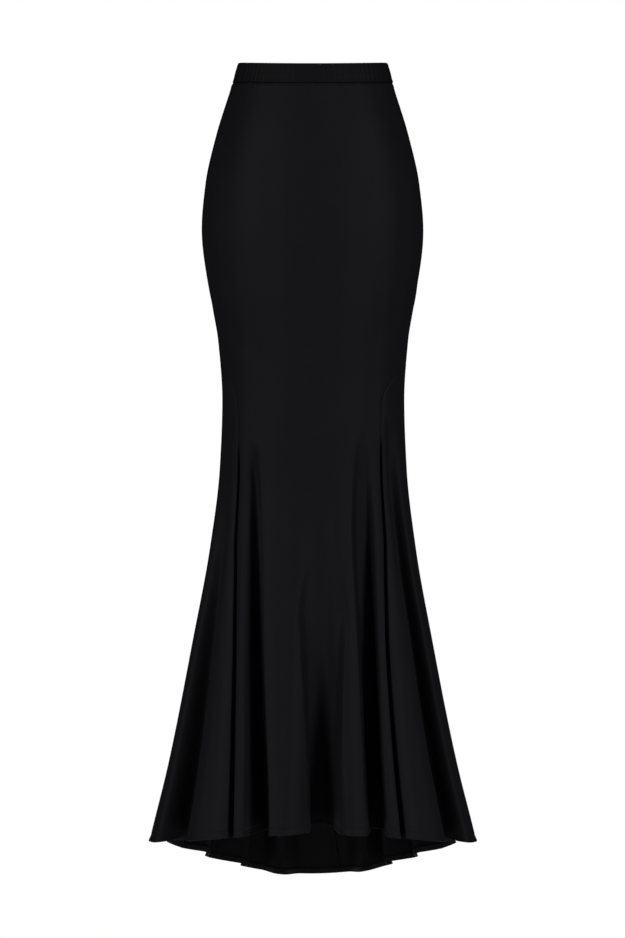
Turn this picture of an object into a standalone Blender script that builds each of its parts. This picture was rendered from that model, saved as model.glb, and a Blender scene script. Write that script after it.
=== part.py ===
"""Mermaid fishtail skirt in black jersey, worn and hollow, as a Blender model.

The frame is in metres with +Z up. The wearer faces -Y, so the wearer's left side is at +X. The origin
is the centre of the waist opening, level with the top of the waistband at the sides, where the wearer
holds the skirt up. The hem and the train hang below it.

Every piece is a wall cut from one form: half ellipses drawn through a short table of body sections,
then pushed in along a short table of folds. A place on the form is an angle round the body, 0 at the
centre front and positive towards +X, and a share of the length from the waist seam down to the hem.
"""

import math
from typing import Callable, NamedTuple

import bpy
from mathutils import Vector

# Driving sizes, in metres.
BAND_HEIGHT = 0.0292
BAND_THICKNESS = 0.003
CLOTH_THICKNESS = 0.0018
SEAM_GAP = 0.0004
WAIST_DIP_FRONT = 0.0107
WAIST_DIP_POWER = 1.2

HEM_DROP_FRONT = 1.126
HEM_DROP_SIDE = 1.153
HEM_DROP_BACK = 1.235
TRAIN_SWING = math.radians(8)

# How finely each piece is faceted.
BAND_COLUMNS = 56
FRONT_COLUMNS = 40
BACK_COLUMNS = 18
GODET_COLUMNS = 24

CENTRE_BACK = math.radians(180)


class Section(NamedTuple):
    """One level of the body: how wide and how deep the skirt is there."""

    drop: float
    half_width: float
    front_depth: float
    back_depth: float


class Fold(NamedTuple):
    """One trough that runs down to the hem and grows deeper on its way, with its floor and flanks."""

    start_drop: float
    start_angle: float
    hem_angle: float
    floor: float
    low_spread: float
    high_spread: float
    depth: float
    growth: float
    lean: float


class SeamPoint(NamedTuple):
    """Where the godets' seams lie at one level of the side, as angles from the centre front."""

    side_drop: float
    left_front: float
    right_front: float
    back: float


class SeamFold(NamedTuple):
    """A narrow fold that follows a front seam down to the hem."""

    seam_column: int
    side: int
    start_drop: float
    spread: float
    depth: float
    growth: float


# drop, half width, front depth, back depth
SECTIONS = (
    Section(0.000, 0.1105, 0.080, 0.084),
    Section(0.0292, 0.1184, 0.0853, 0.0924),
    Section(0.110, 0.1432, 0.098, 0.112),
    Section(0.180, 0.1586, 0.103, 0.124),
    Section(0.248, 0.1644, 0.104, 0.129),
    Section(0.340, 0.1540, 0.101, 0.121),
    Section(0.410, 0.1415, 0.096, 0.110),
    Section(0.500, 0.1353, 0.091, 0.102),
    Section(0.600, 0.1388, 0.091, 0.104),
    Section(0.720, 0.1527, 0.100, 0.117),
    Section(0.860, 0.1783, 0.118, 0.144),
    Section(1.034, 0.2132, 0.148, 0.190),
    Section(1.153, 0.2424, 0.171, 0.226),
    Section(1.240, 0.2620, 0.186, 0.246),
)

# start drop, start angle, hem angle, floor, low spread, high spread, depth, growth, lean;
# from -X round to +X
FOLDS = (
    Fold(0.56, -164, -168, 1.0, 7.0, 6.0, 0.036, 1.0, 0.15),
    Fold(0.56, -147, -149, 0.5, 6.0, 8.0, 0.038, 0.9, -0.20),
    Fold(0.54, -129, -131, 1.0, 8.0, 6.0, 0.044, 0.8, 0.20),
    Fold(0.55, -109, -110, 0.5, 6.0, 12.0, 0.040, 0.9, -0.40),
    Fold(0.54, -65, -51.8, 0.3, 23.0, 4.5, 0.056, 1.05, -0.60),
    Fold(0.57, -40.5, -20, 1.5, 6.0, 4.5, 0.054, 0.7, 0.00),
    Fold(0.58, 5.0, 4.2, 1.0, 14.0, 8.0, 0.030, 1.0, 0.00),
    Fold(0.79, 4.6, 4.2, 4.4, 3.5, 3.5, 0.050, 0.9, 0.00),
    Fold(0.55, 32.5, 23.3, 2.9, 3.5, 3.5, 0.056, 1.0, 0.20),
    Fold(0.53, 53, 56, 0.3, 4.5, 16.0, 0.042, 0.65, 0.60),
    Fold(0.56, 111, 112, 0.5, 12.0, 6.0, 0.040, 0.9, 0.40),
    Fold(0.54, 131, 132, 1.0, 6.0, 8.0, 0.044, 0.8, -0.20),
    Fold(0.57, 147, 146, 0.5, 7.0, 6.0, 0.038, 0.9, 0.20),
    Fold(0.57, 166, 160, 1.0, 6.0, 7.0, 0.036, 1.0, -0.15),
)
FOLD_CURVE = 1.2
FLOOR_START = 0.25
# A fold's cloth slants inwards by its depth over this length, which lifts its hem.
FOLD_SLANT = 0.55

APEX_LEVEL = 0.444
# side drop, left front, right front and back seam angles; the left godet is the one at +X
GODET_SEAM = (
    SeamPoint(APEX_LEVEL, 90, 90, 90),
    SeamPoint(0.454, 75, 76, 104),
    SeamPoint(0.474, 57, 62, 119),
    SeamPoint(0.505, 49, 55.5, 127),
    SeamPoint(0.560, 47.5, 53, 132),
    SeamPoint(0.700, 45.5, 50, 137),
    SeamPoint(0.780, 42, 45.6, 138),
    SeamPoint(0.880, 38, 40, 139),
    SeamPoint(1.000, 35.9, 35.6, 140),
    SeamPoint(1.153, 34, 30.6, 141),
)
# seam column, side, start drop, spread, depth, growth: both front seams sink into a narrow fold
SEAM_FOLDS = (
    SeamFold(2, -1, 0.57, 4.0, 0.034, 0.6),
    SeamFold(1, 1, 0.56, 4.0, 0.034, 0.6),
)

# Levels of the facets, as drops of the side: close together where the outline curves.
UPPER_LEVELS = (BAND_HEIGHT, 0.070, 0.115, 0.165, 0.215, 0.262, 0.315, 0.365, 0.410)
GODET_LEVELS = (0.4455, 0.456, 0.476, 0.506, 0.560, 0.630, 0.710, 0.800, 0.890, 0.980, 1.070, HEM_DROP_SIDE)
EVEN_SHARE = 0.35
SAMPLES_PER_COLUMN = 6

JERSEY_COLOUR = (0.006, 0.006, 0.007, 1.0)
JERSEY_ROUGHNESS = 0.62


def remove_all_objects() -> None:
    """Empty the scene before building."""
    for old in list(bpy.data.objects):
        bpy.data.objects.remove(old, do_unlink=True)


def smooth_between(table: tuple, key: float, column: int) -> float:
    """Read one column of a table through a smooth curve that never overshoots its rows.

    Args:
        table: Rows sorted by their first column.
        key: Value in the first column's units.
        column: Which column to read.

    Returns:
        The column's value at the key.
    """
    last = len(table) - 1
    key = min(max(key, table[0][0]), table[last][0])
    row = 0
    while row < last - 1 and key > table[row + 1][0]:
        row += 1
    span = table[row + 1][0] - table[row][0]
    share = (key - table[row][0]) / span
    slopes = [row_slope(table, index, column) * span for index in (row, row + 1)]
    squared = share * share
    cubed = squared * share
    return (
        (2 * cubed - 3 * squared + 1) * table[row][column]
        + (cubed - 2 * squared + share) * slopes[0]
        + (3 * squared - 2 * cubed) * table[row + 1][column]
        + (cubed - squared) * slopes[1]
    )


def row_slope(table: tuple, index: int, column: int) -> float:
    """Give a table column's slope at one row: the harmonic mean of its neighbours, or 0 at a peak.

    Args:
        table: Rows sorted by their first column.
        index: The row.
        column: Which column to read.

    Returns:
        Change of the column for each unit of the first column.
    """
    steps = []
    for first in (index - 1, index):
        if 0 <= first < len(table) - 1:
            rise = table[first + 1][column] - table[first][column]
            steps.append(rise / (table[first + 1][0] - table[first][0]))
    if len(steps) == 1:
        return steps[0]
    if steps[0] * steps[1] <= 0:
        return 0.0
    return 2 * steps[0] * steps[1] / (steps[0] + steps[1])


def hem_drop(angle: float) -> float:
    """Give the depth of the hem below the waist: short in front, longest in the train at the back."""
    end = HEM_DROP_FRONT if math.cos(angle) > 0 else HEM_DROP_BACK
    return HEM_DROP_SIDE + (end - HEM_DROP_SIDE) * math.cos(angle) ** 2


def waist_dip(angle: float) -> float:
    """Give how far the waist dips below its sides, which it does in front only."""
    return WAIST_DIP_FRONT * max(math.cos(angle), 0.0) ** WAIST_DIP_POWER


def share_of_side(side_drop: float) -> float:
    """Turn a drop measured at the side into a share of the cloth's length below the band."""
    return (side_drop - BAND_HEIGHT) / (HEM_DROP_SIDE - BAND_HEIGHT)


def body_point(angle: float, drop: float) -> Vector:
    """Give a point of the smooth body, before its folds.

    Args:
        angle: Angle round the body, 0 at the centre front.
        drop: Depth below the origin.

    Returns:
        The point.
    """
    depth_column = 2 if math.cos(angle) > 0 else 3
    half_width = smooth_between(SECTIONS, drop, 1)
    depth = smooth_between(SECTIONS, drop, depth_column)
    return Vector((half_width * math.sin(angle), -depth * math.cos(angle), -drop))


def fold_weight(fold: Fold, angle: float, drop: float) -> float:
    """Give how strongly one fold acts at a place, from 0 outside it to 1 at its lowest end.

    Args:
        fold: The fold.
        angle: Angle round the body.
        drop: Depth below the origin.

    Returns:
        The weight.
    """
    length = hem_drop(math.radians(fold.hem_angle)) - fold.start_drop
    run = min(max((drop - fold.start_drop) / length, 0.0), 1.1)
    to_go = (1 - min(run, 1.0)) ** FOLD_CURVE
    centre = math.radians(fold.hem_angle + (fold.start_angle - fold.hem_angle) * to_go)
    away = (angle - centre + math.pi) % math.tau - math.pi
    floor = math.radians(fold.floor) * min(run / FLOOR_START, 1.0)
    spread = math.radians(fold.low_spread if away < 0 else fold.high_spread)
    reach = max(abs(away) - floor, 0.0) / spread
    if run == 0 or reach >= 1:
        return 0.0
    return run**fold.growth * math.cos(reach * math.pi / 2) ** 2


def seam_angle(level: float, column: int) -> float:
    """Give a seam's angle at a level; above the godets their seams are the side seams.

    Args:
        level: The level, as a drop of the side.
        column: Column of the seam table.

    Returns:
        The angle, measured from the centre front towards either side.
    """
    return math.radians(smooth_between(GODET_SEAM, level, column))


def seam_fold_weight(fold: SeamFold, angle: float, drop: float, share: float) -> float:
    """Give how strongly a fold along a seam acts at a place, from 0 outside it to 1 at its lowest end.

    Args:
        fold: The fold.
        angle: Angle round the body.
        drop: Depth below the origin.
        share: Share of the length from the waist seam to the hem.

    Returns:
        The weight.
    """
    level = BAND_HEIGHT + share * (HEM_DROP_SIDE - BAND_HEIGHT)
    away = abs(angle - fold.side * seam_angle(level, fold.seam_column)) / math.radians(fold.spread)
    run = min(max((drop - fold.start_drop) / (HEM_DROP_SIDE - fold.start_drop), 0.0), 1.0)
    if run == 0 or away >= 1:
        return 0.0
    return run**fold.growth * math.cos(away * math.pi / 2) ** 2


def form_point(angle: float, share: float) -> Vector:
    """Give a point of the outer face of the cloth.

    Args:
        angle: Angle round the body, 0 at the centre front.
        share: Share of the length from the waist seam to the hem.

    Returns:
        The point, pushed in and sideways by the folds it lies in.
    """
    drop = BAND_HEIGHT + waist_dip(angle) + share * (hem_drop(angle) - BAND_HEIGHT - waist_dip(angle))
    place = body_point(angle, drop)
    step = 0.001
    along = (body_point(angle + step, drop) - body_point(angle - step, drop)).normalized()
    outward = along.cross(Vector((0, 0, 1)))
    push = 0.0
    slide = 0.0
    for fold in FOLDS:
        weight = fold_weight(fold, angle, drop) * fold.depth
        push += weight
        slide += weight * fold.lean
    for fold in SEAM_FOLDS:
        push += seam_fold_weight(fold, angle, drop, share) * fold.depth
    place = place - outward * push + along * slide
    place.z += push**2 / (2 * FOLD_SLANT)
    return place


def inner_point(angle: float, share: float) -> Vector:
    """Give the point of the cloth's inner face that backs a point of its outer face."""
    turn = 0.002
    slide = 0.002
    across = form_point(angle + turn, share) - form_point(angle - turn, share)
    down = form_point(angle, share + slide) - form_point(angle, share - slide)
    outward = down.cross(across).normalized()
    return form_point(angle, share) - outward * CLOTH_THICKNESS


def band_point(angle: float, share: float, inset: float) -> Vector:
    """Give a point of the waistband.

    Args:
        angle: Angle round the body.
        share: Share of the band's height, from its top.
        inset: Distance inside the band's outer face.

    Returns:
        The point.
    """
    drop = share * (BAND_HEIGHT - SEAM_GAP)
    point = body_point(angle, drop)
    point.z -= waist_dip(angle)
    flat = Vector((point.x, point.y, 0)).normalized()
    return point - flat * inset


def make_object(name: str, points: list, faces: list, material: bpy.types.Material) -> bpy.types.Object:
    """Turn points and faces into a smooth-shaded object of the scene.

    Args:
        name: The object's name.
        points: Corner points.
        faces: Corner numbers of each face.
        material: The cloth.

    Returns:
        The object.
    """
    mesh = bpy.data.meshes.new(name)
    mesh.from_pydata(points, [], faces)
    mesh.validate()
    mesh.shade_smooth()
    mesh.set_sharp_from_angle(angle=math.radians(50))
    mesh.materials.append(material)
    piece = bpy.data.objects.new(name, mesh)
    bpy.context.scene.collection.objects.link(piece)
    return piece


def wall_faces(rows: int, columns: int) -> list:
    """List the faces of a wall whose outer points come first, row by row, and then its inner points.

    Args:
        rows: Rows of points, top to bottom.
        columns: Points in each row, towards +angle.

    Returns:
        Faces that close the wall, facing out. The rim's faces are halved alike on both sides of a seam.
    """
    inner = rows * columns
    faces = []
    for row in range(rows - 1):
        for column in range(columns - 1):
            first = row * columns + column
            below = first + columns
            faces.append((first, below, below + 1, first + 1))
            faces.append((inner + first, inner + first + 1, inner + below + 1, inner + below))
    rim = [(0, column) for column in range(columns - 1)]
    rim += [(row, columns - 1) for row in range(rows - 1)]
    rim += [(rows - 1, column) for column in range(columns - 1, 0, -1)]
    rim += [(row, 0) for row in range(rows - 1, 0, -1)]
    corners = [row * columns + column for row, column in rim]
    for here, following in zip(corners, corners[1:] + corners[:1]):
        if here < following:
            faces.append((here, following, inner + following))
            faces.append((here, inner + following, inner + here))
        else:
            faces.append((following, inner + following, inner + here))
            faces.append((following, inner + here, here))
    return faces


def column_angles(low: float, high: float, share: float, columns: int) -> list:
    """Share out the angles of a row's points, closer together on the steep flanks of the folds.

    Args:
        low: The row's lowest angle.
        high: The row's highest angle.
        share: Share of the length from the waist seam to the hem.
        columns: How many points there are.

    Returns:
        The angles.
    """
    samples = (columns - 1) * SAMPLES_PER_COLUMN
    angles = [low + (high - low) * number / samples for number in range(samples + 1)]
    points = [form_point(angle, share) for angle in angles]
    run = [0.0]
    for here, following in zip(points, points[1:]):
        run.append(run[-1] + (following - here).length)
    chosen = []
    number = 0
    for column in range(columns):
        wanted = run[-1] * column / (columns - 1)
        while number < samples - 1 and run[number + 1] < wanted:
            number += 1
        part = (wanted - run[number]) / (run[number + 1] - run[number])
        by_length = angles[number] + part * (angles[number + 1] - angles[number])
        even = low + (high - low) * column / (columns - 1)
        chosen.append(EVEN_SHARE * even + (1 - EVEN_SHARE) * by_length)
    return chosen


def seam_trim(edges: Callable[[float], tuple], side: int, level: float) -> float:
    """Give the angle by which an edge draws back from its seam, so that the gap is even all along.

    Args:
        edges: Gives the angles of both edges at a level.
        side: 0 for the low edge, 1 for the high edge.
        level: The level, as a drop of the side.

    Returns:
        The angle.
    """
    step = 0.001
    share = share_of_side(level)
    angle = edges(level)[side]
    stretch = (form_point(angle + step, share) - form_point(angle - step, share)).length / (2 * step)
    turn = (edges(level + step)[side] - edges(level - step)[side]) / (2 * step)
    return SEAM_GAP / 2 * math.hypot(1, turn * stretch) / stretch


def make_panel(
    name: str,
    levels: tuple,
    columns: int,
    edges: Callable[[float], tuple],
    material: bpy.types.Material,
) -> bpy.types.Object:
    """Cut one panel from the form as a wall.

    Args:
        name: The object's name.
        levels: Levels of its rows, as drops of the side.
        columns: Points in each row.
        edges: Gives the angles of both edges at a level.
        material: The cloth.

    Returns:
        The panel.
    """
    outer = []
    inner = []
    for number, level in enumerate(levels):
        share = share_of_side(level)
        if number == 0:
            share += SEAM_GAP / (2 * HEM_DROP_SIDE)
        low, high = edges(level)
        low += seam_trim(edges, 0, level)
        high -= seam_trim(edges, 1, level)
        for angle in column_angles(low, high, share, columns):
            outer.append(form_point(angle, share))
            inner.append(inner_point(angle, share))
    return make_object(name, outer + inner, wall_faces(len(levels), columns), material)


def make_waistband(material: bpy.types.Material) -> bpy.types.Object:
    """Make the elasticated casing: one closed loop with a rounded top edge."""
    inner = ((0.10, 0.0), (1.0, 0.0))
    outer = ((1.0, BAND_THICKNESS), (0.10, BAND_THICKNESS), (0.0, BAND_THICKNESS / 2))
    profile = inner + outer
    points = []
    for column in range(BAND_COLUMNS):
        angle = math.tau * column / BAND_COLUMNS
        points += [band_point(angle, share, inset) for share, inset in profile]
    faces = []
    sides = len(profile)
    for column in range(BAND_COLUMNS):
        here = column * sides
        following = (column + 1) % BAND_COLUMNS * sides
        for side in range(sides):
            turned = (side + 1) % sides
            faces.append((here + side, here + turned, following + turned, following + side))
    return make_object("waistband", points, faces, material)


def front_edges(level: float) -> tuple:
    """Give the front panel's edges: side seams above, godet seams below."""
    return -seam_angle(level, 2), seam_angle(level, 1)


def train_swing(level: float) -> float:
    """Give the angle by which the hanging train carries the centre back seam round at a level."""
    return TRAIN_SWING * share_of_side(level) ** 3


def back_left_edges(level: float) -> tuple:
    """Give the edges of the back panel at +X, from its godet to the centre back."""
    return seam_angle(level, 3), CENTRE_BACK - train_swing(level)


def back_right_edges(level: float) -> tuple:
    """Give the edges of the back panel at -X, from the centre back to its godet."""
    return -CENTRE_BACK - train_swing(level), -seam_angle(level, 3)


def godet_left_edges(level: float) -> tuple:
    """Give the edges of the godet at +X."""
    return seam_angle(level, 1), seam_angle(level, 3)


def godet_right_edges(level: float) -> tuple:
    """Give the edges of the godet at -X."""
    return -seam_angle(level, 3), -seam_angle(level, 2)


def make_jersey() -> bpy.types.Material:
    """Make the black jersey that every piece is cut from."""
    jersey = bpy.data.materials.new("black_jersey")
    jersey.use_nodes = True
    shader = jersey.node_tree.nodes["Principled BSDF"]
    shader.inputs["Base Color"].default_value = JERSEY_COLOUR
    shader.inputs["Roughness"].default_value = JERSEY_ROUGHNESS
    shader.inputs["Metallic"].default_value = 0.0
    return jersey


def build() -> None:
    """Build the whole skirt."""
    remove_all_objects()
    jersey = make_jersey()
    make_waistband(jersey)
    panel_levels = UPPER_LEVELS + (APEX_LEVEL,) + GODET_LEVELS
    make_panel("front_panel", panel_levels, FRONT_COLUMNS, front_edges, jersey)
    make_panel("back_panel_left", panel_levels, BACK_COLUMNS, back_left_edges, jersey)
    make_panel("back_panel_right", panel_levels, BACK_COLUMNS, back_right_edges, jersey)
    make_panel("godet_left", GODET_LEVELS, GODET_COLUMNS, godet_left_edges, jersey)
    make_panel("godet_right", GODET_LEVELS, GODET_COLUMNS, godet_right_edges, jersey)


build()
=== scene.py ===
"""A mermaid fishtail skirt in black stretch jersey, worn and hollow.

The skirt is six cut pieces: an elasticated waistband, a front, two back panels that meet in a centre
back seam, and a flared godet let into each side from above the knee. Each panel is a thin shell on one
form: half ellipses through a short table of body sections, pushed in along a short table of folds that
deepen towards the hem.

All sizes are in metres. The wearer faces -Y, their left side is at +X, and the origin is the centre of
the waist opening. A place on the form is an angle round the body, 0 at the centre front and positive
towards +X, and a share of the length from the waist seam down to the hem.
"""

import logging
import math
from dataclasses import dataclass, field
from enum import Enum
from typing import Any, NamedTuple

import bmesh
import bpy
import numpy as np
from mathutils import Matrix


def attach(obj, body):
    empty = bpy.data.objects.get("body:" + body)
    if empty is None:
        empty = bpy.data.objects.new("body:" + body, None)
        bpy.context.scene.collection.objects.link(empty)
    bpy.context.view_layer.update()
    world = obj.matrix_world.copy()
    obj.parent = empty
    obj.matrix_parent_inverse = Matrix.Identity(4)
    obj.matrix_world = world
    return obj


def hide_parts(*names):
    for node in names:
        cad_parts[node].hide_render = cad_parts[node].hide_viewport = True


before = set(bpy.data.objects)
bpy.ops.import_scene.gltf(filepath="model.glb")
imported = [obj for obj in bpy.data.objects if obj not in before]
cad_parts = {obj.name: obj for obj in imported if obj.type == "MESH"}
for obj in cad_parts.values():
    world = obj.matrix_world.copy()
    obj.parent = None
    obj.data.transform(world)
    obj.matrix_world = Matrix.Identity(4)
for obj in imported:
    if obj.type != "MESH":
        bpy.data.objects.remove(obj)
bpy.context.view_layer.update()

LOG = logging.getLogger("fishtail_skirt")
WHITE = (1.0, 1.0, 1.0, 1.0)
BODY = "root"


# THE FORM THAT EVERY PIECE IS CUT FROM


class Section(NamedTuple):
    """One level of the body: how wide and how deep the skirt is there."""

    drop: float
    half_width: float
    front_depth: float
    back_depth: float


class Trough(NamedTuple):
    """One fold's trough, which runs down to the hem and grows deeper on its way. Angles are in degrees."""

    start_drop: float
    start_angle: float
    hem_angle: float
    floor: float
    low_spread: float
    high_spread: float
    softness: float
    depth: float
    growth: float
    lean: float


class SeamPoint(NamedTuple):
    """Where the godets' seams lie at one level of the side, in degrees from the centre front."""

    side_drop: float
    left_front: float
    right_front: float
    back: float


class Seam(Enum):
    """A seam line, as the table column that places it and the side of the body that it lies on."""

    LEFT_FRONT = (1, 1)
    LEFT_BACK = (3, 1)
    RIGHT_FRONT = (2, -1)
    RIGHT_BACK = (3, -1)
    CENTRE_BACK_LEFT = (0, 1)
    CENTRE_BACK_RIGHT = (0, -1)


class SeamFold(NamedTuple):
    """A narrow fold that follows a seam down to the hem; its spread is in degrees."""

    seam: Seam
    start_drop: float
    spread: float
    depth: float
    growth: float


class Crease(NamedTuple):
    """One soft crease of the close part: where its middle lies, its reach, and how its line is tilted."""

    angle: float
    drop: float
    half_length: float
    half_width: float
    tilt: float
    depth: float


class Wave(NamedTuple):
    """One slow unevenness of the cloth: how many waves round the body and down a metre, and its height."""

    around: int
    down: float
    phase: float
    height: float


class SmoothTable:
    """Reads the columns of a short table through curves that never overshoot its rows."""

    def __init__(self, rows: tuple) -> None:
        """Keep the rows and work out each column's slope at each of them.

        Args:
            rows: Rows sorted by their first column.
        """
        self.rows = np.array(rows, float)
        steps = np.diff(self.rows, axis=0)
        secants = steps / steps[:, :1]
        inner = np.zeros_like(self.rows[1:-1])
        before, after = secants[:-1], secants[1:]
        same_way = before * after > 0
        inner[same_way] = 2 * before[same_way] * after[same_way] / (before[same_way] + after[same_way])
        self.slopes = np.vstack((secants[:1], inner, secants[-1:]))

    def read(self, key: np.ndarray, column: int) -> np.ndarray:
        """Read one column.

        Args:
            key: Values in the first column's units.
            column: Which column to read.

        Returns:
            The column's value at each key.
        """
        keys = self.rows[:, 0]
        key = np.clip(key, keys[0], keys[-1])
        row = np.clip(np.searchsorted(keys, key, side="left") - 1, 0, len(keys) - 2)
        span = keys[row + 1] - keys[row]
        share = (key - keys[row]) / span
        squared = share**2
        cubed = share**3
        return (
            (2 * cubed - 3 * squared + 1) * self.rows[row, column]
            + (cubed - 2 * squared + share) * self.slopes[row, column] * span
            + (3 * squared - 2 * cubed) * self.rows[row + 1, column]
            + (cubed - squared) * self.slopes[row + 1, column] * span
        )


def unit(vectors: np.ndarray) -> np.ndarray:
    """Bring each vector to a length of 1."""
    return vectors / np.linalg.norm(vectors, axis=-1, keepdims=True)


def turned_from(angle: np.ndarray, centre: float | np.ndarray) -> np.ndarray:
    """Give how far each angle is turned from a centre, the shorter way round."""
    return (angle - centre + math.pi) % math.tau - math.pi


@dataclass
class SkirtForm:
    """The worn shape of the skirt: body sections, hem line, seam lines, folds and creases."""

    band_height: float = 0.0292
    waist_dip_front: float = 0.0107
    waist_dip_power: float = 1.2
    hem_drop_front: float = 1.126
    hem_drop_side: float = 1.153
    hem_drop_back: float = 1.235
    apex_drop: float = 0.444
    knee_drop: float = 0.520
    waist_gap: float = 0.0003
    fold_slant: float = 0.55
    fold_curve: float = 1.2
    floor_start: float = 0.25
    floor_taper: float = 0.7
    shoulder: float = 5.5
    shoulder_part: float = 0.13
    crease_girth: float = 0.85
    train_swing: float = 8.0
    waist_rows_end: float = 0.040
    hem_rows_start: float = 0.0126
    rows: tuple = (8, 62, 26, 78, 13)
    sections: tuple = (
        Section(0.000, 0.1105, 0.080, 0.084),
        Section(0.0292, 0.1184, 0.0853, 0.0924),
        Section(0.110, 0.1432, 0.098, 0.112),
        Section(0.180, 0.1586, 0.103, 0.124),
        Section(0.248, 0.1644, 0.104, 0.129),
        Section(0.340, 0.1540, 0.101, 0.121),
        Section(0.410, 0.1415, 0.096, 0.110),
        Section(0.500, 0.1353, 0.091, 0.102),
        Section(0.600, 0.1388, 0.091, 0.104),
        Section(0.720, 0.1527, 0.100, 0.117),
        Section(0.860, 0.1783, 0.118, 0.144),
        Section(1.034, 0.2132, 0.148, 0.190),
        Section(1.153, 0.2424, 0.171, 0.226),
        Section(1.240, 0.2620, 0.186, 0.246),
    )
    # start drop, start angle, hem angle, floor, low spread, high spread, softness, depth, growth, lean;
    # from the train's right half round by the front to its left half
    troughs: tuple = (
        Trough(0.56, -164, -168, 1.0, 7.0, 5.0, 1.4, 0.040, 1.0, 0.15),
        Trough(0.56, -147, -149, 0.5, 5.0, 8.0, 1.3, 0.042, 0.9, -0.20),
        Trough(0.54, -129, -131, 1.0, 8.0, 4.5, 1.3, 0.048, 0.8, 0.20),
        Trough(0.55, -109, -110, 0.5, 5.0, 12.0, 1.2, 0.044, 0.9, -0.40),
        Trough(0.54, -65, -51.8, 0.3, 23.0, 2.0, 1.0, 0.062, 1.05, -0.72),
        Trough(0.57, -40.5, -20.0, 1.5, 5.0, 3.2, 1.4, 0.062, 0.7, 0.00),
        Trough(0.58, 5.0, 4.2, 1.0, 14.0, 8.0, 1.3, 0.030, 1.0, 0.00),
        Trough(0.70, 4.8, 4.2, 4.9, 1.2, 1.4, 5.0, 0.056, 1.5, 0.00),
        Trough(0.55, 32.5, 23.3, 3.0, 1.3, 1.4, 3.6, 0.068, 1.0, 0.30),
        Trough(0.53, 53, 56.0, 0.3, 2.0, 16.0, 1.0, 0.045, 0.65, 0.75),
        Trough(0.56, 111, 112, 0.5, 12.0, 5.0, 1.2, 0.044, 0.9, 0.40),
        Trough(0.54, 131, 132, 1.0, 4.5, 8.0, 1.3, 0.048, 0.8, -0.20),
        Trough(0.57, 147, 146, 0.5, 7.0, 5.0, 1.3, 0.042, 0.9, 0.20),
        Trough(0.57, 166, 160, 1.0, 5.0, 7.0, 1.4, 0.040, 1.0, -0.15),
    )
    seam_points: tuple = (
        SeamPoint(0.444, 90, 90, 90),
        SeamPoint(0.454, 75, 76, 104),
        SeamPoint(0.474, 57, 62, 119),
        SeamPoint(0.505, 49, 55.5, 127),
        SeamPoint(0.560, 47.5, 53, 132),
        SeamPoint(0.700, 45.5, 50, 137),
        SeamPoint(0.780, 42, 45.6, 138),
        SeamPoint(0.880, 38, 40, 139),
        SeamPoint(1.000, 35.9, 35.6, 140),
        SeamPoint(1.153, 34, 30.6, 141),
    )
    # the narrow folds that both front seams sink into, by the seam that each follows
    seam_folds: tuple = (
        SeamFold(Seam.RIGHT_FRONT, 0.57, 1.5, 0.045, 0.6),
        SeamFold(Seam.LEFT_FRONT, 0.56, 1.5, 0.045, 0.6),
    )
    # angle, drop, half length, half width, tilt in degrees from upright, depth
    creases: tuple = (
        Crease(-52, 0.090, 0.050, 0.012, -20, 0.0006),
        Crease(58, 0.085, 0.060, 0.014, 22, 0.0007),
        Crease(-70, 0.385, 0.070, 0.012, 55, 0.0009),
        Crease(66, 0.370, 0.080, 0.014, -52, 0.0010),
        Crease(25, 0.470, 0.090, 0.020, -30, 0.0007),
        Crease(-28, 0.455, 0.080, 0.018, 28, 0.0006),
        Crease(115, 0.400, 0.080, 0.014, 55, 0.0012),
        Crease(-118, 0.395, 0.085, 0.014, -55, 0.0012),
        Crease(150, 0.345, 0.070, 0.013, 72, 0.0010),
        Crease(-152, 0.350, 0.065, 0.013, -70, 0.0010),
        Crease(140, 0.470, 0.070, 0.015, 60, 0.0010),
        Crease(-141, 0.465, 0.070, 0.015, -62, 0.0010),
        Crease(165, 0.110, 0.060, 0.016, 15, 0.0008),
        Crease(-163, 0.115, 0.060, 0.016, -18, 0.0008),
    )
    waves: tuple = (
        Wave(5, 1.3, 0.4, 0.0006),
        Wave(9, 0.9, 2.1, 0.0005),
        Wave(14, 1.9, 4.0, 0.0003),
        Wave(23, 1.1, 1.2, 0.0002),
    )
    sections_table: SmoothTable = field(init=False)
    seam_table: SmoothTable = field(init=False)

    def __post_init__(self) -> None:
        """Make the two smooth tables."""
        self.sections_table = SmoothTable(self.sections)
        self.seam_table = SmoothTable(self.seam_points)

    def hem_drop(self, angle: np.ndarray) -> np.ndarray:
        """Give the depth of the hem below the waist: short in front, longest in the train at the back."""
        end = np.where(np.cos(angle) > 0, self.hem_drop_front, self.hem_drop_back)
        return self.hem_drop_side + (end - self.hem_drop_side) * np.cos(angle) ** 2

    def waist_dip(self, angle: np.ndarray) -> np.ndarray:
        """Give how far the waist dips below its sides, which it does in front only."""
        return self.waist_dip_front * np.maximum(np.cos(angle), 0.0) ** self.waist_dip_power

    def length(self, angle: np.ndarray) -> np.ndarray:
        """Give the hem's drop below the band's lower edge at the side."""
        return self.hem_drop(angle) - self.band_height

    def drop(self, angle: np.ndarray, share: np.ndarray) -> np.ndarray:
        """Give how far below the origin a place on the skirt lies."""
        top = self.band_height + self.waist_dip(angle)
        return top + share * (self.hem_drop(angle) - top)

    def levels(self, top_drop: float) -> np.ndarray:
        """Give the levels that all panels share, so that neighbours match all along their seam.

        Args:
            top_drop: The side drop that a panel starts at.

        Returns:
            Shares of the length, closest together under the band, at the godets' tips and in the hem.
        """
        top, hem = self.band_height, self.hem_drop_side
        stops = (top, self.waist_rows_end, self.apex_drop, self.knee_drop, hem - self.hem_rows_start, hem)
        stretches = zip(stops, stops[1:], self.rows)
        drops = [np.linspace(low, high, rows, endpoint=False) for low, high, rows in stretches]
        drops = np.append(np.concatenate(drops), hem)
        drops[0] += self.waist_gap
        return (drops[drops > top_drop - 1e-6] - top) / (hem - top)

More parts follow.
